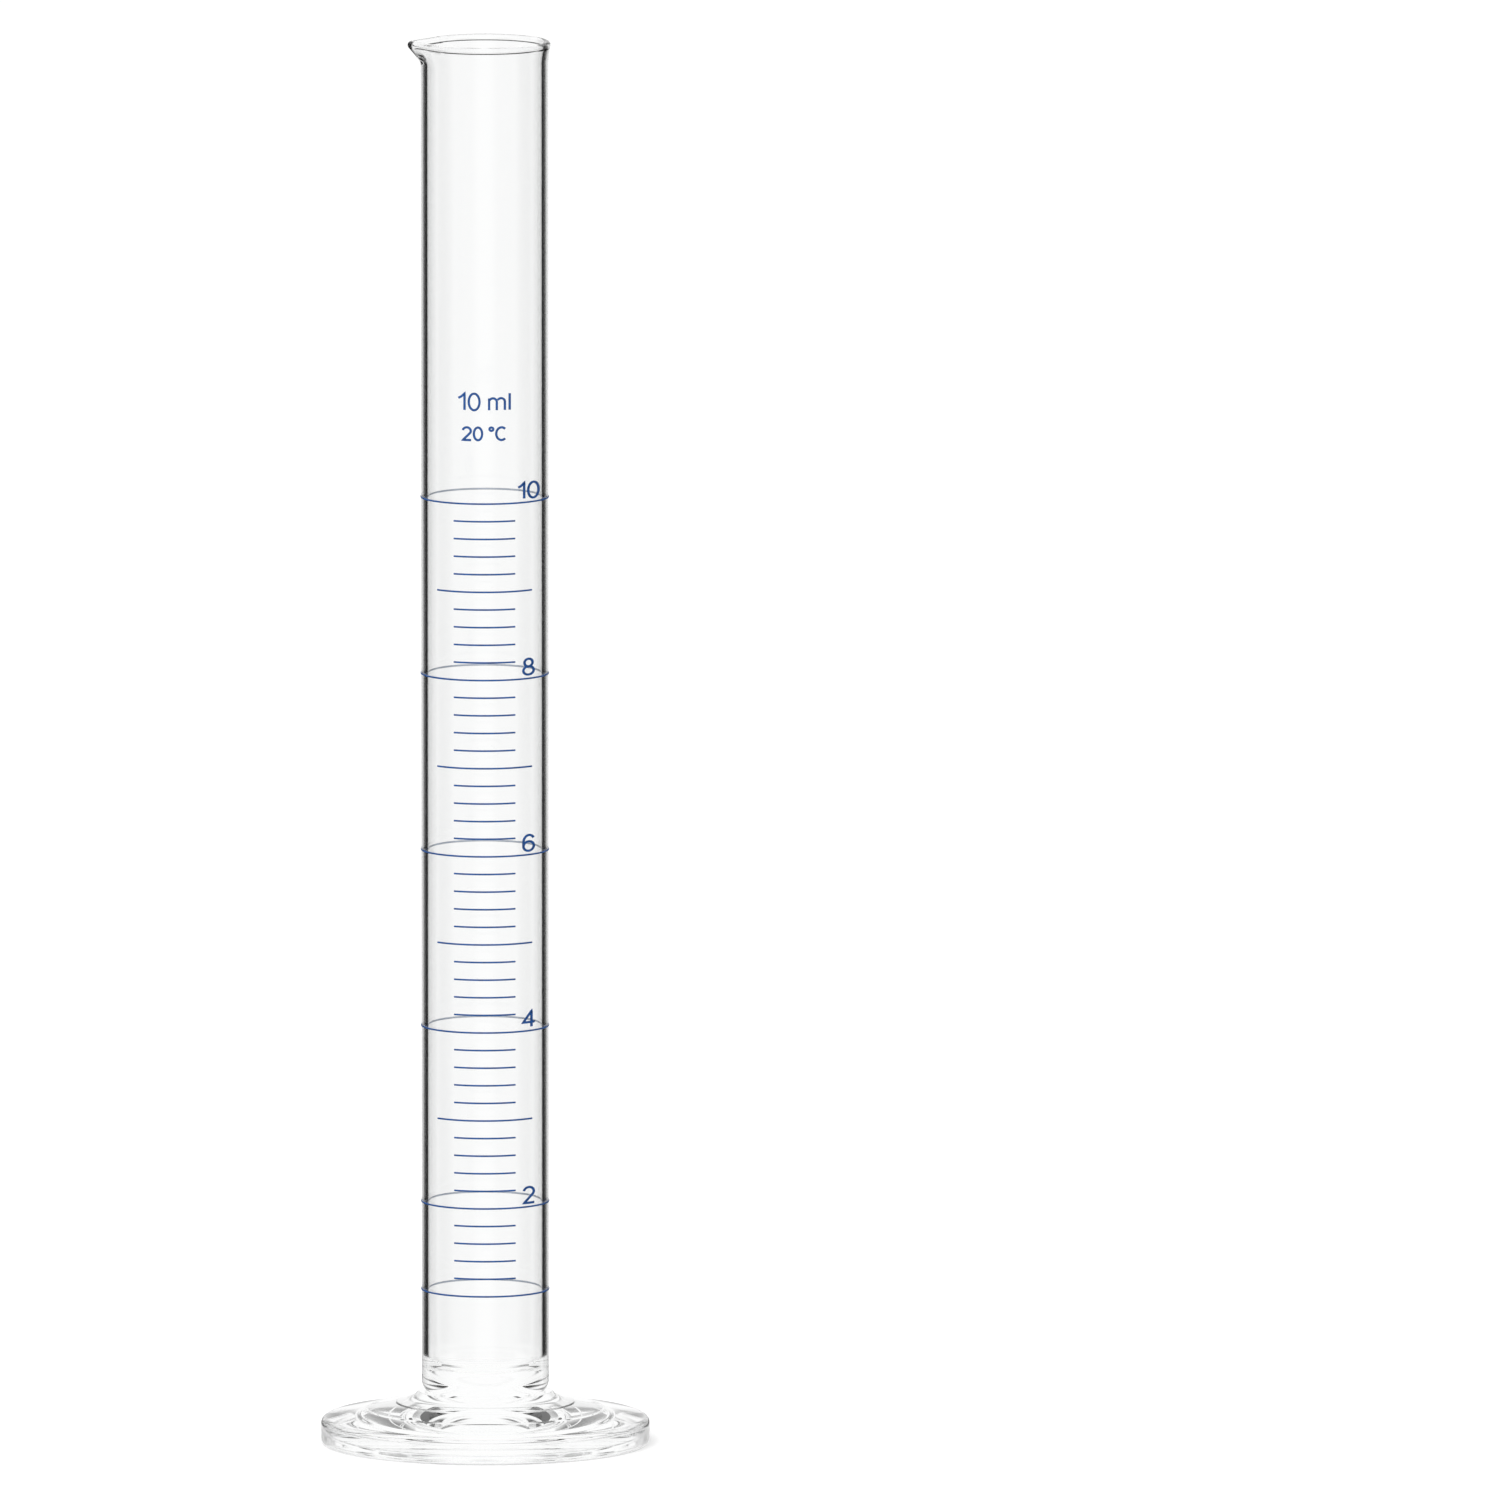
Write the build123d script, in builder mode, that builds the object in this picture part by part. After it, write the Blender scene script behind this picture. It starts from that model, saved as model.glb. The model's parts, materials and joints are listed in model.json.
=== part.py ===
from build123d import *
import os
from math import asin, degrees, pi, radians, sqrt, tan

# A 10 ml glass measuring cylinder, in millimetres.
# The origin is the middle of the foot's underside and +Z is the axis of the tube.
# The pouring beak points to -X and the scale faces -Y.

# Tube
bore_diameter = 11.8
wall = 0.67
bottom_depth = 3.7           # height of the bore's domed bottom
end_thickness = 0.2          # glass under the middle of that bottom, down to the fused seam
end_rounding = 1.1           # height over which the closed end curves in to the seam
seam_groove = 0.45           # how far the seam lies inside the tube's outer face
headspace = 47.16            # from the highest mark up to the rim

# Rim and pouring beak
rim_flare = 0.185            # how far the wall leans out at the rim
rim_height = 1.5             # height of the stretch that leans out
bead_swell = 0.065           # the melted edge stands this far proud of both faces of the wall
bead_height = 0.84
beak_overhang = 1.33         # from the tube's outer face to the tip of the beak
beak_spread = 48             # degrees from the beak's tip to each shoulder on the round rim
beak_tip_radius = 0.8
beak_shoulder_radius = 3.0

# Pressed foot, three tiers that climb to the boss the tube stands on
foot_diameter = 33.9
foot_edge = 1.95             # height of the upright edge
foot_chamfer = 0.45          # at the edge's lower corner
foot_bevel_width = 0.9       # the bevel above the upright edge
foot_bevel_height = 0.75
tier_slope = 11              # degrees
tier_step = 0.15             # rise and run of the small step between two tiers
middle_tier_width = 3.0
inner_tier_width = 2.4
boss_ledge = 0.33            # how far the boss stands out past the tube
boss_rise = 1.06             # from the inner tier's lower edge up to the boss
boss_flank = 0.7             # width of the boss's steep flank
boss_dish = 0.1              # the boss rises this much from its edge to the seam
standing_ring_width = 4.35   # the rest of the underside is hollowed
recess_depth = 0.6

# Enamel scale
capacity = 10                # ml
marks_per_ml = 5
cubic_mm_per_ml = 1000
short_line_chord = 6.3
long_line_chord = 9.7
print_height = 0.18
print_thickness = 0.05

bore_radius = bore_diameter / 2
tube_radius = bore_radius + wall
seam_radius = tube_radius - seam_groove

foot_radius = foot_diameter / 2
recess_radius = foot_radius - standing_ring_width
boss_radius = tube_radius + boss_ledge
inner_tier_radius = boss_radius + inner_tier_width
middle_tier_radius = inner_tier_radius + middle_tier_width
flank_radius = boss_radius + boss_flank

slope = tan(radians(tier_slope))
bevel_radius = foot_radius - foot_bevel_width
bevel_top = foot_edge + foot_bevel_height
outer_tier_top = bevel_top + (bevel_radius - middle_tier_radius) * slope
middle_tier_base = outer_tier_top + tier_step
middle_tier_top = middle_tier_base + (middle_tier_radius - inner_tier_radius - tier_step) * slope
inner_tier_base = middle_tier_top + tier_step
flank_base = inner_tier_base + (inner_tier_radius - tier_step - flank_radius) * slope
boss_height = inner_tier_base + boss_rise
seam_height = boss_height + boss_dish
floor_height = seam_height + end_thickness
straight_bore_start = floor_height + bottom_depth


def level(volume):
    """Height of the liquid's surface in the bore for a volume in ml."""
    bore_area = pi * bore_radius**2
    domed_bottom = bore_area * bottom_depth * 2 / 3
    return straight_bore_start + (volume * cubic_mm_per_ml - domed_bottom) / bore_area


overall_height = level(capacity) + headspace
bead_half_width = wall / 2 + bead_swell
rim_radius = bore_radius + wall / 2 + rim_flare
rim_centre = overall_height - bead_height / 2
bead_seat = rim_centre - bead_height / 2 * sqrt(1 - (wall / 2 / bead_half_width) ** 2)
mouth_base = bead_seat - rim_height
beak_reach = tube_radius + beak_overhang - bead_half_width


def rim_outline(growth):
    """Middle of the wall at the rim, a circle drawn out to a beak, grown by an even distance."""
    with BuildSketch(Plane.XY.offset(bead_seat)) as outline:
        with BuildLine():
            ring = CenterArc((0, 0), rim_radius, beak_spread - 180, 360 - 2 * beak_spread)
            tip_centre = (beak_tip_radius - beak_reach, 0)
            tip = CenterArc(tip_centre, beak_tip_radius, 0, 360, mode=Mode.PRIVATE)
            near_flank = ConstrainedLines(tip, ring @ 0, selector=lambda lines: lines.sort_by(Axis.Y)[0])
            far_flank = ConstrainedLines(tip, ring @ 1, selector=lambda lines: lines.sort_by(Axis.Y)[-1])
            near_end = near_flank.vertices().sort_by(Axis.X)[0]
            far_end = far_flank.vertices().sort_by(Axis.X)[0]
            ThreePointArc(near_end, (-beak_reach, 0), far_end)
        make_face()
        corners = outline.vertices().sort_by(Axis.Y)
        fillet([corners[0], corners[-1]], beak_shoulder_radius)
        if growth:
            offset(amount=growth)
    return outline.sketch


# The cylinder is one piece of glass: foot, tube, rim and beak are fused together
with BuildPart() as glass_cylinder:
    # Half section of the foot and the tube, turned about the axis as if it were solid
    with BuildSketch(Plane.XZ):
        with BuildLine():
            foot_line = Polyline(
                (0, recess_depth),
                (recess_radius - recess_depth / 2, recess_depth),
                (recess_radius, 0),
                (foot_radius - foot_chamfer, 0),
                (foot_radius, foot_chamfer),
                (foot_radius, foot_edge),
                (bevel_radius, bevel_top),
                (middle_tier_radius, outer_tier_top),
                (middle_tier_radius - tier_step, middle_tier_base),
                (inner_tier_radius, middle_tier_top),
                (inner_tier_radius - tier_step, inner_tier_base),
                (flank_radius, flank_base),
                (boss_radius, boss_height),
                (seam_radius, seam_height),
            )
            closed_end = TangentArc(
                (tube_radius, seam_height + end_rounding), foot_line @ 1, tangent=(0, -1)
            )
            Polyline(closed_end @ 0, (tube_radius, mouth_base), (0, mouth_base), (0, recess_depth))
        make_face()
    revolve(axis=Axis.Z)

    # The mouth leans out from the round tube to the rim and its beak
    with BuildSketch(Plane.XY.offset(mouth_base)) as tube_face:
        Circle(tube_radius)
    loft([tube_face.sketch, rim_outline(wall / 2)], ruled=True)

    # The bore ends in half an ellipsoid and opens into the same mouth
    with BuildSketch(Plane.XZ):
        with BuildLine():
            bottom_arc = EllipticalCenterArc(
                (0, straight_bore_start), bore_radius, bottom_depth, -90, arc_size=90
            )
            Polyline(bottom_arc @ 1, (bore_radius, mouth_base), (0, mouth_base), bottom_arc @ 0)
        make_face()
    revolve(axis=Axis.Z, mode=Mode.SUBTRACT)
    with BuildSketch(Plane.XY.offset(mouth_base)) as bore_face:
        Circle(bore_radius)
    loft([bore_face.sketch, rim_outline(-wall / 2)], ruled=True, mode=Mode.SUBTRACT)

    # Fire-polishing leaves a bead all along the rim, an oval cut off where it sits on the wall
    rim_line = rim_outline(0).face().outer_wire()
    with BuildSketch(Plane(origin=rim_line @ 0, x_dir=(0, 0, 1), z_dir=rim_line % 0)) as bead:
        with Locations((rim_centre - bead_seat, 0)):
            Ellipse(bead_height / 2, bead_half_width)
        Rectangle(bead_height, bead_height, align=(Align.MAX, Align.CENTER), mode=Mode.SUBTRACT)
    sweep(bead.sketch, path=rim_line)


# The lowest mark and each even millilitre have a ring, the marks between them a line
marks = range(marks_per_ml, capacity * marks_per_ml + 1)
ring_marks = [mark for mark in marks if mark == marks_per_ml or mark % (2 * marks_per_ml) == 0]
line_marks = [mark for mark in marks if mark not in ring_marks]


def print_plane(mark):
    """Plane through the lower edge of a printed mark."""
    return Plane.XY.offset(level(mark / marks_per_ml) - print_height / 2)


# Thin enamel bands that run all the way round the tube
with BuildPart() as scale_rings:
    for mark in ring_marks:
        with BuildSketch(print_plane(mark)):
            Circle(tube_radius + print_thickness)
            Circle(tube_radius, mode=Mode.SUBTRACT)
        extrude(amount=print_height)


# Enamel strokes that lie on the front of the tube, longer at the odd millilitres
with BuildPart() as scale_lines:
    for mark in line_marks:
        chord = short_line_chord if mark % marks_per_ml else long_line_chord
        reach = degrees(asin(chord / 2 / tube_radius))
        with BuildSketch(print_plane(mark)):
            with BuildLine():
                inside = CenterArc((0, 0), tube_radius, -90 - reach, 2 * reach)
                outside = CenterArc((0, 0), tube_radius + print_thickness, -90 - reach, 2 * reach)
                Line(inside @ 0, outside @ 0)
                Line(inside @ 1, outside @ 1)
            make_face()
        extrude(amount=print_height)


os.makedirs("parts", exist_ok=True)
glass_cylinder.part.label = "glass_cylinder"
export_step(glass_cylinder.part, "parts/glass_cylinder.step")
scale_rings.part.label = "scale_rings"
export_step(scale_rings.part, "parts/scale_rings.step")
scale_lines.part.label = "scale_lines"
export_step(scale_lines.part, "parts/scale_lines.step")
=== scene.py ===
import json
import math

import bpy
import numpy as np
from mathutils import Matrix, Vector


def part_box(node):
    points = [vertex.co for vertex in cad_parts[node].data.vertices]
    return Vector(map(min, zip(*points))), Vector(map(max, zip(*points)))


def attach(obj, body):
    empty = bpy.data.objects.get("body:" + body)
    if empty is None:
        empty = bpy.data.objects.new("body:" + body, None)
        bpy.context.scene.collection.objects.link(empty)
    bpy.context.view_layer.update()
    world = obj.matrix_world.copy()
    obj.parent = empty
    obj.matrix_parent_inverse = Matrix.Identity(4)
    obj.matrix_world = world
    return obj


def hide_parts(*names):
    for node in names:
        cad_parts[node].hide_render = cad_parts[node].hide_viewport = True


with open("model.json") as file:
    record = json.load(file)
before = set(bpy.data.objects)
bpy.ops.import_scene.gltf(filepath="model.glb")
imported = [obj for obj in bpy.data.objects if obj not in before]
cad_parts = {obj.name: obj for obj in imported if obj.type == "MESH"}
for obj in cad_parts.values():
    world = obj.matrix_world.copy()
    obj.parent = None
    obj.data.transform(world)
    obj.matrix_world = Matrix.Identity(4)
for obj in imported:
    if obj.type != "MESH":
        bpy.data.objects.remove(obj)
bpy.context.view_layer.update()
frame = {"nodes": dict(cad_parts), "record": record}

MM = 0.001

# Sizes read from the frame, in millimetres
glass_low, glass_high = (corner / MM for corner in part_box("glass_cylinder"))
ring_low, ring_high = (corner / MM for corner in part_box("scale_rings"))
mounts = {mount["name"]: mount for mount in frame["record"]["mounts"]}

foot_radius = glass_high.x
overall_height = glass_high.z
bore_radius = mounts["measuring_bore"]["dims"]["r_mm"]

# Sizes that the frame doesn't state, in millimetres
wall = 0.67
bottom_depth = 3.7
end_rounding = 1.1
seam_groove = 0.45
end_thickness = 0.2
rim_flare = 0.185
rim_height = 1.5
bead_swell = 0.065
bead_height = 0.84
beak_overhang = 1.33
beak_spread = math.radians(48)
beak_tip_radius = 0.8
beak_shoulder_radius = 3.0
mouth_softening = 0.2        # share of the mouth's height over which it starts to lean out
standing_ring_width = 4.35
recess_depth = 0.6
recess_corner = 0.35
foot_lower_corner = 0.4
foot_upper_corner = 0.75
foot_top_slope = math.tan(math.radians(11))
middle_tier_width = 3.0
inner_tier_width = 2.4
tier_step = 0.15
tier_corner = 0.12
boss_ledge = 0.33
boss_flank = 0.7
boss_flank_radius = 1.6
boss_rise = 1.06
boss_corner = 0.15
boss_dish = 0.1
print_thickness = 0.05
print_height = 0.18
print_standoff = 0.004       # keeps the enamel's back just clear of the glass

tube_radius = bore_radius + wall
recess_radius = foot_radius - standing_ring_width
boss_radius = tube_radius + boss_ledge
inner_tier_radius = boss_radius + inner_tier_width
middle_tier_radius = inner_tier_radius + middle_tier_width
flank_radius = boss_radius + boss_flank
seam_radius = tube_radius - seam_groove
bead_half_width = wall / 2 + bead_swell
rim_centre = overall_height - bead_height / 2
bead_lean = math.acos(wall / 2 / bead_half_width)
bead_seat = rim_centre - bead_height / 2 * math.sin(bead_lean)
mouth_base = bead_seat - rim_height
rim_radius = bore_radius + wall / 2 + rim_flare
beak_reach = tube_radius + beak_overhang - bead_half_width


near_axis = 1.0              # close enough to the axis to be the floor of the bore or the underside


def bore_floor_height():
    """Lowest point of the bore, read off the CAD mesh: the highest vertex near the axis."""
    vertices = frame["nodes"]["glass_cylinder"].data.vertices
    return max(v.co.z for v in vertices if math.hypot(v.co.x, v.co.y) < near_axis * MM) / MM


floor_height = bore_floor_height()
straight_bore_start = floor_height + bottom_depth
seam_height = floor_height - end_thickness
boss_height = seam_height - boss_dish
inner_tier_base = boss_height - boss_rise
flank_base = inner_tier_base + (inner_tier_radius - tier_step - flank_radius) * foot_top_slope
middle_tier_top = inner_tier_base - tier_step
middle_tier_slant = middle_tier_radius - inner_tier_radius - tier_step
middle_tier_base = middle_tier_top - middle_tier_slant * foot_top_slope
outer_tier_top = middle_tier_base - tier_step
foot_edge_top = outer_tier_top - (foot_radius - middle_tier_radius) * foot_top_slope

# The scale: the first and last rings give the heights of 1 ml and 10 ml
capacity = 10
marks_per_ml = 5
short_line_chord = 6.3
long_line_chord = 9.7
first_level = ring_low.z + print_height / 2
last_level = ring_high.z - print_height / 2
ml_rise = (last_level - first_level) / (capacity - 1)


def level(volume):
    """Height of a mark for a volume in ml."""
    return first_level + (volume - 1) * ml_rise


# Camera, from the photograph's 1500 x 1500 pixels
photo_width = 1500
pixels_per_mm = 9.711
axis_column = 484.9
image_centre = 750
centre_row_height = 71.97    # height on the tube's axis that the middle row of pixels shows
camera_distance = 5000
camera_elevation = math.radians(7.5)
sensor_width = 36
nearest_seen = 0.1           # metres
farthest_seen = 50


def add_camera():
    """A long lens that looks along +Y and a little down, aimed beside the object."""
    aim = Vector(((image_centre - axis_column) / pixels_per_mm, 0, centre_row_height))
    back = Vector((0, -math.cos(camera_elevation), math.sin(camera_elevation)))
    camera = bpy.data.cameras.new("camera")
    camera.sensor_width = sensor_width
    camera.lens = sensor_width * camera_distance * pixels_per_mm / photo_width
    camera.clip_start = nearest_seen
    camera.clip_end = farthest_seen
    holder = bpy.data.objects.new("camera", camera)
    holder.location = (aim + back * camera_distance) * MM
    holder.rotation_mode = "QUATERNION"
    holder.rotation_quaternion = (-back).to_track_quat("-Z", "Y")
    bpy.context.scene.collection.objects.link(holder)
    bpy.context.scene.camera = holder


# Small helpers for node trees
def add_node(tree, kind, **settings):
    """A new node of this kind with these attributes."""
    node = tree.nodes.new(kind)
    for name, value in settings.items():
        setattr(node, name, value)
    return node


def feed(tree, socket, value):
    """Links a socket to another one, or sets it to a number."""
    if isinstance(value, bpy.types.NodeSocket):
        tree.links.new(value, socket)
    else:
        socket.default_value = value


def calculate(tree, operation, *values):
    """A math node's result."""
    node = add_node(tree, "ShaderNodeMath", operation=operation)
    for socket, value in zip(node.inputs, values):
        feed(tree, socket, value)
    return node.outputs[0]


def multiply(tree, first, second):
    """The product of two values."""
    return calculate(tree, "MULTIPLY", first, second)


def at_least(tree, count, least):
    """1 where a whole number is at least this, otherwise 0."""
    return calculate(tree, "GREATER_THAN", count, least - 0.5)


def ramp(tree, value, start, end, low=0.0, high=1.0):
    """A smooth step from low to high while value goes from start to end."""
    node = add_node(tree, "ShaderNodeMapRange", interpolation_type="SMOOTHSTEP")
    for name, number in (("Value", value), ("From Min", start), ("From Max", end),
                         ("To Min", low), ("To Max", high)):
        feed(tree, node.inputs[name], number)
    return node.outputs[0]


def noise(tree, vector, scale, detail=2):
    """A noise texture's value."""
    node = add_node(tree, "ShaderNodeTexNoise")
    feed(tree, node.inputs["Vector"], vector)
    node.inputs["Scale"].default_value = scale
    node.inputs["Detail"].default_value = detail
    return node.outputs["Fac"]


def add_bump(tree, shader, height, strength, depth):
    """Small bumps, this deep in millimetres, on a shader."""
    bump = add_node(tree, "ShaderNodeBump")
    bump.inputs["Strength"].default_value = strength
    bump.inputs["Distance"].default_value = depth * MM
    feed(tree, bump.inputs["Height"], height)
    feed(tree, shader.inputs["Normal"], bump.outputs["Normal"])


def emission(tree, strength):
    """White light of this strength."""
    node = add_node(tree, "ShaderNodeEmission")
    feed(tree, node.inputs["Strength"], strength)
    return node.outputs[0]


# Studio: white all round, with black cards at the sides and a black ceiling that only glass shows.
# Angles to the side are measured from the Y axis, in front of the object and behind it alike.
ambient = 0.75
card_brightness = 0.02
side_card_start = math.radians(10)
side_card_full = math.radians(28)
side_card_fading = math.radians(50)
side_card_end = math.radians(66)
broadside_card_start = math.radians(50)
broadside_card_full = math.radians(80)
card_top = math.radians(14)
card_bottom = math.radians(-14)
card_fade = math.radians(12)
ceiling_start = math.radians(6)
ceiling_full = math.radians(13)
ceiling_brightness = 0.02


def card_cover(tree, path, aside, rise, behind):
    """How much of a card reflected light meets.

    Light that is reflected in the tube's wall, between its two faces, meets the side cards. Light
    that is reflected off a face meets the broadside cards, and the side cards behind the object.
    """
    level_enough = multiply(tree, ramp(tree, rise, card_top, card_top + card_fade, 1.0, 0.0),
                            ramp(tree, rise, card_bottom - card_fade, card_bottom))
    side = multiply(tree, ramp(tree, aside, side_card_start, side_card_full),
                    ramp(tree, aside, side_card_fading, side_card_end, 1.0, 0.0))
    broadside = calculate(tree, "MAXIMUM", multiply(tree, side, behind),
                          ramp(tree, aside, broadside_card_start, broadside_card_full))
    reflected = at_least(tree, path["Glossy Depth"], 1)
    through_wall = calculate(tree, "SUBTRACT", at_least(tree, path["Transmission Depth"], 2),
                             at_least(tree, path["Transmission Depth"], 3))
    in_wall = multiply(tree, reflected, through_wall)
    off_face = calculate(tree, "SUBTRACT", reflected, in_wall)
    card = calculate(tree, "ADD", multiply(tree, side, in_wall), multiply(tree, broadside, off_face))
    return multiply(tree, card, level_enough)


def seen_by(tree, direction):
    """Whether the camera looks straight here, whether glass shows it, and how bright the studio is."""
    path = add_node(tree, "ShaderNodeLightPath").outputs
    x, y, z = add_node(tree, "ShaderNodeSeparateXYZ").outputs
    feed(tree, x.node.inputs[0], direction)
    flat_square = calculate(tree, "ADD", multiply(tree, x, x), multiply(tree, y, y))
    rise = calculate(tree, "ARCTAN2", z, calculate(tree, "SQRT", flat_square))
    aside = calculate(tree, "ARCTAN2", calculate(tree, "ABSOLUTE", x), calculate(tree, "ABSOLUTE", y))
    behind = calculate(tree, "GREATER_THAN", y, 0.0)
    card = card_cover(tree, path, aside, rise, behind)
    beside = calculate(tree, "MULTIPLY_ADD", card, card_brightness - 1.0, 1.0)
    overhead = calculate(tree, "MAXIMUM", at_least(tree, path["Glossy Depth"], 1),
                         ramp(tree, rise, ceiling_start, ceiling_full, 1.0, ceiling_brightness))
    by_glass = calculate(tree, "MAXIMUM", path["Is Glossy Ray"], path["Is Transmission Ray"])
    scattered = at_least(tree, path["Diffuse Depth"], 1)
    shown = multiply(tree, by_glass, calculate(tree, "SUBTRACT", 1.0, scattered))
    return path["Is Camera Ray"], shown, multiply(tree, beside, overhead)


def add_world():
    """White to the camera and the glass, plainer light for everything that is lit by it."""
    world = bpy.data.worlds.new("studio")
    bpy.context.scene.world = world
    world.use_nodes = True
    tree = world.node_tree
    direction = add_node(tree, "ShaderNodeTexCoord").outputs["Generated"]
    camera, shown, brightness = seen_by(tree, direction)
    looked_at = calculate(tree, "MAXIMUM", camera, shown)
    extra = multiply(tree, looked_at, calculate(tree, "SUBTRACT", brightness, ambient))
    background = tree.nodes["Background"]
    background.inputs["Color"].default_value = (1, 1, 1, 1)
    feed(tree, background.inputs["Strength"], calculate(tree, "ADD", extra, ambient))


floor_size = 4000
floor_gap = 0.02
floor_colour = (0.9, 0.9, 0.9, 1)
floor_lift = 0.35            # glow that brings the lit floor up to white for the camera
floor_card_start = 20        # on the floor, the cards begin this far from the object's axis
floor_card_full = 34


def floor_brightness(tree, position, brightness):
    """The studio's brightness on the floor, where the cards fade out towards the object."""
    distance = add_node(tree, "ShaderNodeVectorMath", operation="LENGTH")
    feed(tree, distance.inputs[0], position)
    beyond = ramp(tree, distance.outputs["Value"], floor_card_start * MM, floor_card_full * MM)
    darkening = multiply(tree, beyond, calculate(tree, "SUBTRACT", brightness, 1.0))
    return calculate(tree, "ADD", darkening, 1.0)


def floor_material():
    """Pale and lit like any floor for the camera, but plain light for the glass."""
    material = bpy.data.materials.new("floor")
    material.use_nodes = True
    tree = material.node_tree
    tree.nodes.clear()
    position = add_node(tree, "ShaderNodeNewGeometry").outputs["Position"]
    camera, shown, brightness = seen_by(tree, position)
    diffuse = add_node(tree, "ShaderNodeBsdfDiffuse")
    diffuse.inputs["Color"].default_value = floor_colour
    lifted = add_node(tree, "ShaderNodeAddShader")
    feed(tree, lifted.inputs[0], diffuse.outputs[0])
    feed(tree, lifted.inputs[1], emission(tree, multiply(tree, camera, floor_lift)))
    either = add_node(tree, "ShaderNodeMixShader")
    feed(tree, either.inputs[0], shown)
    feed(tree, either.inputs[1], lifted.outputs[0])
    feed(tree, either.inputs[2], emission(tree, floor_brightness(tree, position, brightness)))
    output = add_node(tree, "ShaderNodeOutputMaterial")
    feed(tree, output.inputs["Surface"], either.outputs[0])
    return material


def add_floor():
    """A large flat floor just under the object."""
    mesh = bpy.data.meshes.new("floor")
    half = floor_size / 2 * MM
    corners = [(x * half, y * half, -floor_gap * MM) for x, y in ((-1, -1), (1, -1), (1, 1), (-1, 1))]
    mesh.from_pydata(corners, [], [range(4)])
    mesh.materials.append(floor_material())
    floor = bpy.data.objects.new("floor", mesh)
    bpy.context.scene.collection.objects.link(floor)


lamp_place = Vector((-450, -500, 900))
lamp_size = 600
lamp_power = 4.0


def add_lamp():
    """One large soft lamp from the front left, above."""
    light = bpy.data.lights.new("softbox", "AREA")
    light.shape = "SQUARE"
    light.size = lamp_size * MM
    light.energy = lamp_power
    lamp = bpy.data.objects.new("softbox", light)
    lamp.location = lamp_place * MM
    lamp.rotation_mode = "QUATERNION"
    lamp.rotation_quaternion = (-lamp_place).to_track_quat("-Z", "Y")
    lamp.visible_glossy = False
    lamp.visible_transmission = False
    bpy.context.scene.collection.objects.link(lamp)


# Clear glass
light_bounces = 24           # light is reflected many times inside the foot before it leaves
glass_colour = (0.99, 0.993, 0.992, 1)
glass_refraction = 1.473
haze_scale = 60
haze_detail = 3
haze_roughness = 0.012
streak_scale = 220
streak_stretch = (1, 1, 0.04)
streak_strength = 0.03
streak_depth = 0.05


def glass_material():
    """Clear drawn glass: faint streaks along the tube and a trace of haze from handling."""
    material = bpy.data.materials.new("clear_glass")
    material.use_nodes = True
    tree = material.node_tree
    shader = tree.nodes["Principled BSDF"]
    shader.inputs["Base Color"].default_value = glass_colour
    shader.inputs["Transmission Weight"].default_value = 1.0
    shader.inputs["IOR"].default_value = glass_refraction
    position = add_node(tree, "ShaderNodeTexCoord").outputs["Object"]
    haze = noise(tree, position, haze_scale, haze_detail)
    feed(tree, shader.inputs["Roughness"], ramp(tree, haze, 0.45, 0.8, 0.0, haze_roughness))
    stretched = add_node(tree, "ShaderNodeMapping")
    feed(tree, stretched.inputs["Vector"], position)
    stretched.inputs["Scale"].default_value = streak_stretch
    streaks = noise(tree, stretched.outputs["Vector"], streak_scale)
    add_bump(tree, shader, streaks, streak_strength, streak_depth)
    return material


# Blue enamel
deep_blue = (0.004, 0.062, 0.24, 1)
light_blue = (0.008, 0.09, 0.34, 1)
back_colour = (0.62, 0.7, 0.82, 1)
back_clearness = 0.8         # light shines through the print where it is seen from its back
back_limit = -0.5            # a face that is turned inwards more than this is the back
grain_scale = 2500
grain_detail = 4
grain_strength = 0.2
grain_depth = 0.01


def outer_side(tree):
    """1 on the outer side of the print, 0 on the back that lies against the tube."""
    geometry = add_node(tree, "ShaderNodeNewGeometry").outputs
    outward = add_node(tree, "ShaderNodeVectorMath", operation="MULTIPLY")
    feed(tree, outward.inputs[0], geometry["Position"])
    outward.inputs[1].default_value = (1 / MM, 1 / MM, 0)
    turned_out = add_node(tree, "ShaderNodeVectorMath", operation="DOT_PRODUCT")
    feed(tree, turned_out.inputs[0], outward.outputs["Vector"])
    feed(tree, turned_out.inputs[1], geometry["True Normal"])
    return calculate(tree, "GREATER_THAN", turned_out.outputs["Value"], back_limit * tube_radius)


def mix_colours(tree, share, first, second):
    """A colour between two others."""
    node = add_node(tree, "ShaderNodeMix", data_type="RGBA")
    for name, value in (("Factor", share), ("A", first), ("B", second)):
        feed(tree, node.inputs[name], value)
    return node.outputs["Result"]


def enamel_material():
    """Fired blue enamel. Its back, seen through the glass, is pale."""
    material = bpy.data.materials.new("blue_enamel")
    material.use_nodes = True
    tree = material.node_tree
    shader = tree.nodes["Principled BSDF"]
    outer = outer_side(tree)
    position = add_node(tree, "ShaderNodeTexCoord").outputs["Object"]
    grain = noise(tree, position, grain_scale, grain_detail)
    blue = mix_colours(tree, ramp(tree, grain, 0.35, 0.65), deep_blue, light_blue)
    feed(tree, shader.inputs["Base Color"], mix_colours(tree, outer, back_colour, blue))
    back = calculate(tree, "SUBTRACT", 1.0, outer)
    feed(tree, shader.inputs["Transmission Weight"], multiply(tree, back, back_clearness))
    feed(tree, shader.inputs["Roughness"], ramp(tree, grain, 0.3, 0.7, 0.3, 0.5))
    add_bump(tree, shader, grain, grain_strength, grain_depth)
    return material


# Glass body
columns = 288
beak_crowding = 0.6          # columns stand closer together towards the beak
corner_steps = 6
closed_end_steps = 12
bottom_steps = 32
outline_steps = 24           # for the beak's tip, its flank and its shoulder each
round_rim_steps = 200
hinge_rows = 9
mouth_rows = 6
mouth_rows_start = 0.3       # share of the mouth's height where the rows above the hinge begin
bead_rows = 30
glass_sharp_angle = math.radians(32)


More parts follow.
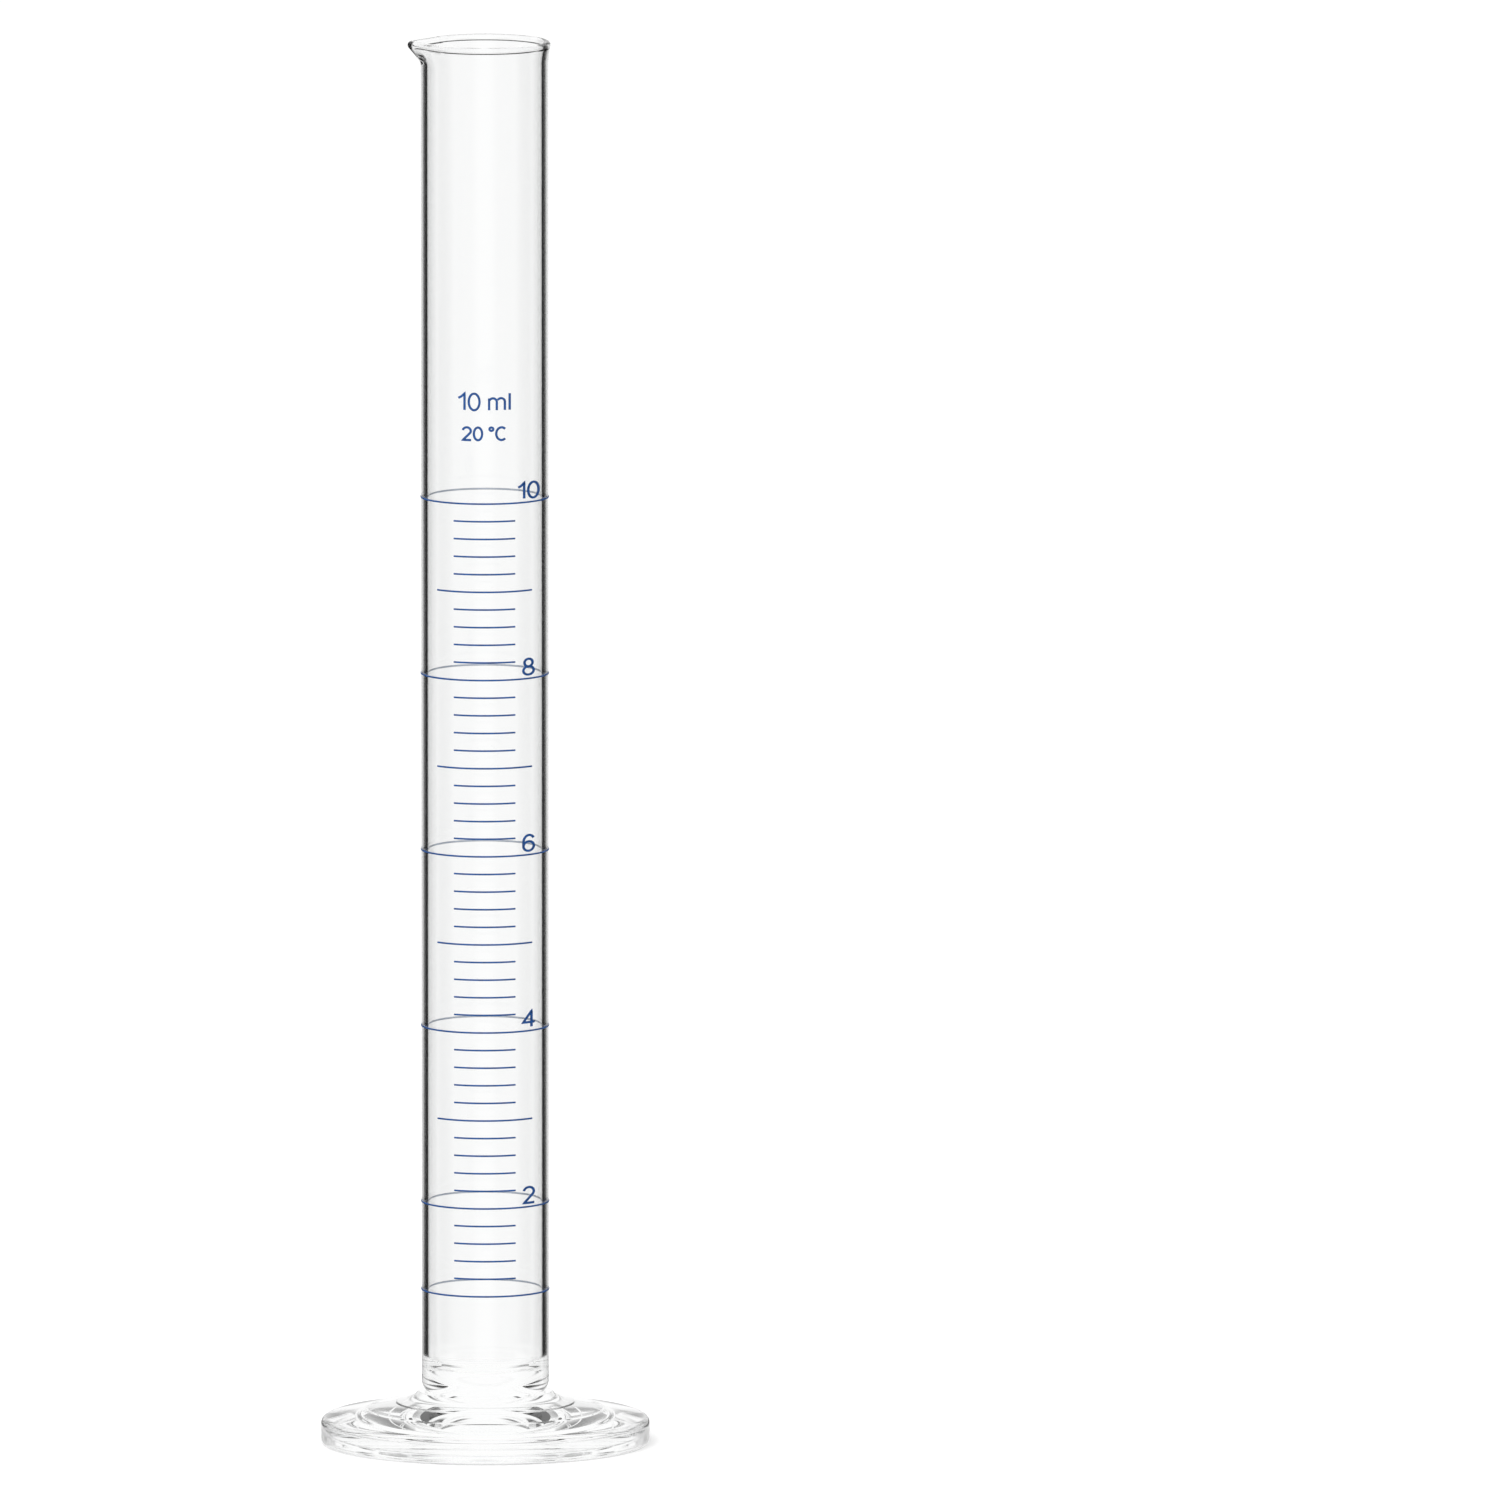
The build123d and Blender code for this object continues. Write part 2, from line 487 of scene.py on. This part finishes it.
def round_corners(corners):
    """A polyline of (radius, height, corner radius) points with its corners turned into arcs."""
    points = []
    for before, corner, after in zip(corners, corners[1:], corners[2:]):
        here = np.array(corner[:2])
        back = np.array(before[:2]) - here
        ahead = np.array(after[:2]) - here
        back /= np.linalg.norm(back)
        ahead /= np.linalg.norm(ahead)
        half = math.acos(np.clip(back @ ahead, -1, 1)) / 2
        middle = (back + ahead) / np.linalg.norm(back + ahead)
        centre = here + middle * corner[2] / math.sin(half)
        start = here + back * corner[2] / math.tan(half) - centre
        end = here + ahead * corner[2] / math.tan(half) - centre
        for share in np.linspace(0, 1, corner_steps if corner[2] else 1):
            spoke = start * math.sin((1 - share) * (math.pi - 2 * half))
            spoke = spoke + end * math.sin(share * (math.pi - 2 * half))
            points.append(tuple(centre + spoke / math.sin(math.pi - 2 * half)))
    return [tuple(corners[0][:2]), *points, tuple(corners[-1][:2])]


def foot_profile():
    """From the middle of the underside, round the pressed foot, up to the seam."""
    return round_corners([
        (0, recess_depth, 0),
        (recess_radius - recess_depth / 2, recess_depth, recess_corner),
        (recess_radius, 0, recess_corner),
        (foot_radius, 0, foot_lower_corner),
        (foot_radius, foot_edge_top, foot_upper_corner),
        (middle_tier_radius, outer_tier_top, tier_corner),
        (middle_tier_radius - tier_step, middle_tier_base, tier_corner),
        (inner_tier_radius, middle_tier_top, tier_corner),
        (inner_tier_radius - tier_step, inner_tier_base, tier_corner),
        (flank_radius, flank_base, boss_flank_radius),
        (boss_radius, boss_height, boss_corner),
        (seam_radius, seam_height, 0),
    ])


def closed_end_profile():
    """The tube's rounded closed end, from the seam up to the straight wall."""
    arc_radius = (end_rounding**2 + seam_groove**2) / (2 * seam_groove)
    turn = math.asin(end_rounding / arc_radius)
    return [
        (
            tube_radius - arc_radius * (1 - math.cos(angle)),
            seam_height + end_rounding - arc_radius * math.sin(angle),
        )
        for angle in np.linspace(turn, 0, closed_end_steps)[1:]
    ]


def bottom_profile():
    """The bore's domed bottom, from the straight wall down to the axis."""
    return [
        (
            bore_radius * math.cos(angle),
            straight_bore_start - bottom_depth * math.sin(angle),
        )
        for angle in np.linspace(0, math.pi / 2, bottom_steps)
    ]


def arc(centre, radius, start, end, steps):
    """Points on an arc, angles in radians."""
    return [
        np.array(centre) + radius * np.array((math.cos(angle), math.sin(angle)))
        for angle in np.linspace(start, end, steps)
    ]


def rim_outline(angles):
    """Middle of the wall at the rim, and its outward normals, at these angles from the beak.

    The outline is a circle drawn out to a beak. Seen with the beak to the right, each straight flank
    leaves the tip's arc as a tangent and turns into the circle round a small shoulder.
    """
    tip_centre = np.array((beak_reach - beak_tip_radius, 0.0))
    shoulder = rim_radius * np.array((math.cos(beak_spread), math.sin(beak_spread)))
    reach = shoulder - tip_centre
    distance = np.linalg.norm(reach)
    normal_angle = math.atan2(reach[1], reach[0]) - math.acos(beak_tip_radius / distance)
    normal = np.array((math.cos(normal_angle), math.sin(normal_angle)))
    flank_distance = tip_centre @ normal + beak_tip_radius
    corner_distance = flank_distance - beak_shoulder_radius
    corner_along = math.sqrt((rim_radius - beak_shoulder_radius) ** 2 - corner_distance**2)
    corner_centre = normal * corner_distance + np.array((-normal[1], normal[0])) * corner_along
    corner_end = math.atan2(corner_centre[1], corner_centre[0])
    tip = arc(tip_centre, beak_tip_radius, 0, normal_angle, outline_steps)
    corner = arc(corner_centre, beak_shoulder_radius, normal_angle, corner_end, outline_steps)
    flank = list(np.linspace(tip[-1], corner[0], outline_steps))[1:-1]
    ring = arc((0, 0), rim_radius, corner_end, math.pi, round_rim_steps)
    points = [*tip, *flank, *corner, *ring]
    polar = [math.atan2(y, x) for x, y in points]
    reach_at = np.interp(np.abs(angles), polar, [math.hypot(x, y) for x, y in points])
    outline = np.stack((reach_at * np.cos(angles), reach_at * np.sin(angles)), 1)
    tangent = np.roll(outline, -1, 0) - np.roll(outline, 1, 0)
    tangent /= np.linalg.norm(tangent, axis=1)[:, None]
    return outline, np.stack((tangent[:, 1], -tangent[:, 0]), 1)


def soft_hinge(share):
    """The share itself, eased in where it starts to grow."""
    if share < -mouth_softening:
        return 0.0
    if share > mouth_softening:
        return share
    return (share + mouth_softening) ** 2 / (4 * mouth_softening)


def glass_rows(angles):
    """Rows of points round the axis, beak towards +X, from the underside over the rim to the bore."""
    circle = np.stack((np.cos(angles), np.sin(angles)), 1)
    outline, normals = rim_outline(angles)
    rows = []

    def add_row(flat, height):
        rows.append(np.column_stack((flat, np.full(columns, height))))

    def add_mouth_row(radius, offset, share):
        blend = soft_hinge(share)
        leaning = outline + normals * offset
        add_row(circle * radius * (1 - blend) + leaning * blend, mouth_base + share * rim_height)

    hinge = np.linspace(-mouth_softening, mouth_softening, hinge_rows)
    shares = np.concatenate((hinge, np.linspace(mouth_rows_start, 1, mouth_rows)))
    for radius, height in foot_profile()[1:] + closed_end_profile():
        add_row(circle * radius, height)
    for share in shares:
        add_mouth_row(tube_radius, wall / 2, share)
    for angle in np.linspace(-bead_lean, math.pi + bead_lean, bead_rows + 2)[1:-1]:
        width = bead_half_width * math.cos(angle)
        add_row(outline + normals * width, rim_centre + bead_height / 2 * math.sin(angle))
    for share in shares[::-1]:
        add_mouth_row(bore_radius, -wall / 2, share)
    for radius, height in bottom_profile()[:-1]:
        add_row(circle * radius, height)
    return rows


def skin(rows, closed_ends):
    """Vertices and faces of a surface through closed rows, with a point at each end."""
    vertices = [tuple(point) for row in rows for point in row]
    faces = []
    count = len(rows[0])
    for row in range(len(rows) - 1):
        for column in range(count):
            here = row * count + column
            beside = row * count + (column + 1) % count
            faces.append((here, beside, beside + count, here + count))
    first, last = len(vertices), len(vertices) + 1
    vertices += [(0, 0, closed_ends[0]), (0, 0, closed_ends[1])]
    top = (len(rows) - 1) * count
    for column in range(count):
        beside = (column + 1) % count
        faces.append((first, beside, column))
        faces.append((last, top + column, top + beside))
    return vertices, faces


def new_piece(name, vertices, faces, material, sharp_angle):
    """A smooth mesh object from points in millimetres, with an edge where it turns more sharply."""
    mesh = bpy.data.meshes.new(name)
    mesh.from_pydata([tuple(MM * value for value in point) for point in vertices], [], faces)
    mesh.validate()
    mesh.polygons.foreach_set("use_smooth", [True] * len(mesh.polygons))
    mesh.set_sharp_from_angle(angle=sharp_angle)
    mesh.materials.append(material)
    piece = bpy.data.objects.new(name, mesh)
    bpy.context.scene.collection.objects.link(piece)
    return piece


def add_glass():
    """The cylinder: foot, tube, beaded rim and beak in one closed skin."""
    turns = np.linspace(-math.pi, math.pi, columns, endpoint=False)
    angles = turns - beak_crowding * np.sin(turns)
    rows = glass_rows(angles)
    for row in rows:
        row[:, :2] *= -1
    vertices, faces = skin(rows, (recess_depth, floor_height))
    glass = new_piece("glass_body", vertices, faces, glass_material(), glass_sharp_angle)
    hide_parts("glass_cylinder")
    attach(glass, "root")


# Enamel print
ring_steps = 256
line_step = math.radians(1.5)
print_sharp_angle = math.radians(60)


def print_section():
    """Cross-section of an enamel line, (distance out, height), low crown with thin edges."""
    half = print_height / 2
    return [
        (0, -half),
        (0.5 * print_thickness, -0.95 * half),
        (print_thickness, -0.5 * half),
        (print_thickness, 0.5 * half),
        (0.5 * print_thickness, 0.95 * half),
        (0, half),
    ]


def add_stroke(vertices, faces, height, start, end):
    """An enamel line round part of the tube, or all round where it ends at its start."""
    whole = end - start > 2 * math.pi - line_step
    steps = ring_steps if whole else math.ceil((end - start) / line_step)
    section = print_section()
    size = len(section)
    first = len(vertices)
    stations = steps if whole else steps + 1
    for station in range(stations):
        angle = start + (end - start) * station / steps
        for out, rise in section:
            radius = tube_radius + print_standoff + out * (1 - print_standoff / print_thickness)
            vertices.append((radius * math.cos(angle), radius * math.sin(angle), height + rise))
    for station in range(steps):
        here = first + station * size
        ahead = first + (station + 1) % stations * size
        for corner in range(size):
            beside = (corner + 1) % size
            faces.append((here + corner, ahead + corner, ahead + beside, here + beside))
    if not whole:
        last = first + steps * size
        faces.append(tuple(range(first, first + size)))
        faces.append(tuple(reversed(range(last, last + size))))


def add_scale(material):
    """Rings at 1 ml and each even millilitre, lines at the marks between them."""
    marks = range(marks_per_ml, capacity * marks_per_ml + 1)
    ring_marks = [mark for mark in marks if mark == marks_per_ml or mark % (2 * marks_per_ml) == 0]
    rings, lines = ([], []), ([], [])
    for mark in marks:
        height = level(mark / marks_per_ml)
        if mark in ring_marks:
            add_stroke(*rings, height, 0, 2 * math.pi)
        else:
            chord = short_line_chord if mark % marks_per_ml else long_line_chord
            reach = math.asin(chord / 2 / tube_radius)
            add_stroke(*lines, height, -math.pi / 2 - reach, -math.pi / 2 + reach)
    for name, node, shape in (
        ("ring_print", "scale_rings", rings),
        ("line_print", "scale_lines", lines),
    ):
        piece = new_piece(name, *shape, material, print_sharp_angle)
        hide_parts(node)
        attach(piece, "root")


pen_width = 0.24
pen_step = 0.12              # strokes are cut this fine so that they follow the round tube
least_mitre = 0.5            # keeps the pen's corners short where a stroke turns sharply
pen_section = (              # corners of a stroke's cross-section: side of the path, distance out
    (1, print_standoff),
    (1, print_thickness),
    (-1, print_thickness),
    (-1, print_standoff),
)


def bow(centre, reach, start, end, steps=24):
    """Points on part of an ellipse, angles in degrees."""
    return [
        (centre[0] + reach[0] * math.cos(math.radians(angle)),
         centre[1] + reach[1] * math.sin(math.radians(angle)))
        for angle in np.linspace(start, end, steps)
    ]


# Each character: its width and its pen strokes, for a height of 1
arch = bow((0.2, 0.5), (0.2, 0.22), 150, 0, 12)
characters = {
    "0": (0.56, [bow((0.28, 0.5), (0.28, 0.5), 0, 360, 48)]),
    "1": (0.34, [[(0, 0.72), (0.16, 0.82), (0.32, 1), (0.32, 0)]]),
    "2": (0.56, [[*bow((0.28, 0.72), (0.27, 0.28), 170, -35), (0.02, 0), (0.57, 0)]]),
    "4": (0.6, [[(0.45, 0), (0.45, 1), (0, 0.3), (0.62, 0.3)]]),
    "6": (0.56, [bow((0.28, 0.3), (0.28, 0.3), 0, 360, 40),
                 [(0, 0.3), *bow((0.3, 0.55), (0.3, 0.45), 180, 35)]]),
    "8": (0.56, [bow((0.28, 0.26), (0.28, 0.26), 0, 360, 40),
                 bow((0.28, 0.76), (0.22, 0.24), 0, 360, 40)]),
    "m": (0.84, [[(0, 0), (0, 0.72)], [*arch, (0.4, 0)],
                 [*((x + 0.42, y) for x, y in arch), (0.82, 0)]]),
    "l": (0.06, [[(0.03, 0), (0.03, 1)]]),
    "C": (0.66, [bow((0.36, 0.5), (0.36, 0.5), 48, 312, 40)]),
    "°": (0.26, [bow((0.13, 0.87), (0.13, 0.13), 0, 360, 20)]),
    " ": (0.1, []),
}
letter_gap = 0.2
letter_spread = 1.15         # characters are this much wider than written above


def fine_path(path):
    """The same path with points no further apart than a pen step."""
    points = [path[0]]
    for start, end in zip(path, path[1:]):
        steps = max(1, math.ceil(math.dist(start, end) / pen_step))
        points += [tuple(point) for point in np.linspace(start, end, steps + 1)[1:]]
    return np.array(points)


def add_pen_stroke(vertices, faces, path):
    """A thin flat ribbon of enamel along a path of (distance to the side, height) on the tube."""
    points = fine_path(path)
    closed = math.dist(points[0], points[-1]) < pen_step / 10
    if closed:
        points = points[:-1]
        before, after = np.roll(points, 1, 0), np.roll(points, -1, 0)
    else:
        before = np.vstack((2 * points[0] - points[1], points[:-1]))
        after = np.vstack((points[1:], 2 * points[-1] - points[-2]))
    first = len(vertices)
    for last, here, ahead in zip(before, points, after):
        arriving = (here - last) / np.linalg.norm(here - last)
        leaving = (ahead - here) / np.linalg.norm(ahead - here)
        middle = arriving + leaving
        middle /= np.linalg.norm(middle)
        half = pen_width / 2 / max(middle @ arriving, least_mitre)
        sideways = np.array((-middle[1], middle[0])) * half
        for side, out in pen_section:
            across, height = here + side * sideways
            angle = math.asin(across / tube_radius) - math.pi / 2
            radius = tube_radius + out
            vertices.append((radius * math.cos(angle), radius * math.sin(angle), height))
    count = len(points)
    for station in range(count if closed else count - 1):
        here = first + 4 * station
        ahead = first + 4 * ((station + 1) % count)
        for corner in range(4):
            beside = (corner + 1) % 4
            faces.append((here + corner, ahead + corner, ahead + beside, here + beside))
    if not closed:
        end = first + 4 * (count - 1)
        faces.append(tuple(range(first, first + 4)))
        faces.append(tuple(reversed(range(end, end + 4))))


def add_lettering(name, text, material, letter_height, baseline, centre):
    """Characters printed on the tube, centred this far to the side of the front."""
    size = letter_height - pen_width
    stretch = size * letter_spread
    width = sum(characters[letter][0] + letter_gap for letter in text) - letter_gap
    place = centre - width * stretch / 2
    vertices, faces = [], []
    for letter in text:
        letter_width, strokes = characters[letter]
        for stroke in strokes:
            path = [(place + x * stretch, baseline + pen_width / 2 + y * size) for x, y in stroke]
            add_pen_stroke(vertices, faces, path)
        place += (letter_width + letter_gap) * stretch
    piece = new_piece(name, vertices, faces, material, print_sharp_angle)
    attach(piece, "root")


numeral_height = 1.87
numeral_gap = 0.2            # from a ring's upper edge to the foot of its numeral
numeral_centre = 4.5
capacity_letter_height = 1.95
capacity_rise = 9.6          # the capacity stands this far above the highest ring
temperature_letter_height = 1.55
temperature_rise = 6.5


def add_numbers(material):
    """A numeral over the right of each even ring, and two short plain lines above the scale."""
    for volume in range(2, capacity + 1, 2):
        baseline = level(volume) + print_height / 2 + numeral_gap
        name = f"numeral_{volume}"
        add_lettering(name, str(volume), material, numeral_height, baseline, numeral_centre)
    for name, text, height, rise in (
        ("capacity_print", "10 ml", capacity_letter_height, capacity_rise),
        ("temperature_print", "20 °C", temperature_letter_height, temperature_rise),
    ):
        add_lettering(name, text, material, height, level(capacity) + rise, 0)


bpy.context.scene.view_settings.view_transform = "Standard"
bpy.context.scene.cycles.max_bounces = light_bounces
bpy.context.scene.cycles.glossy_bounces = light_bounces
bpy.context.scene.cycles.transmission_bounces = light_bounces
add_camera()
add_world()
add_floor()
add_lamp()
add_glass()
enamel = enamel_material()
add_scale(enamel)
add_numbers(enamel)
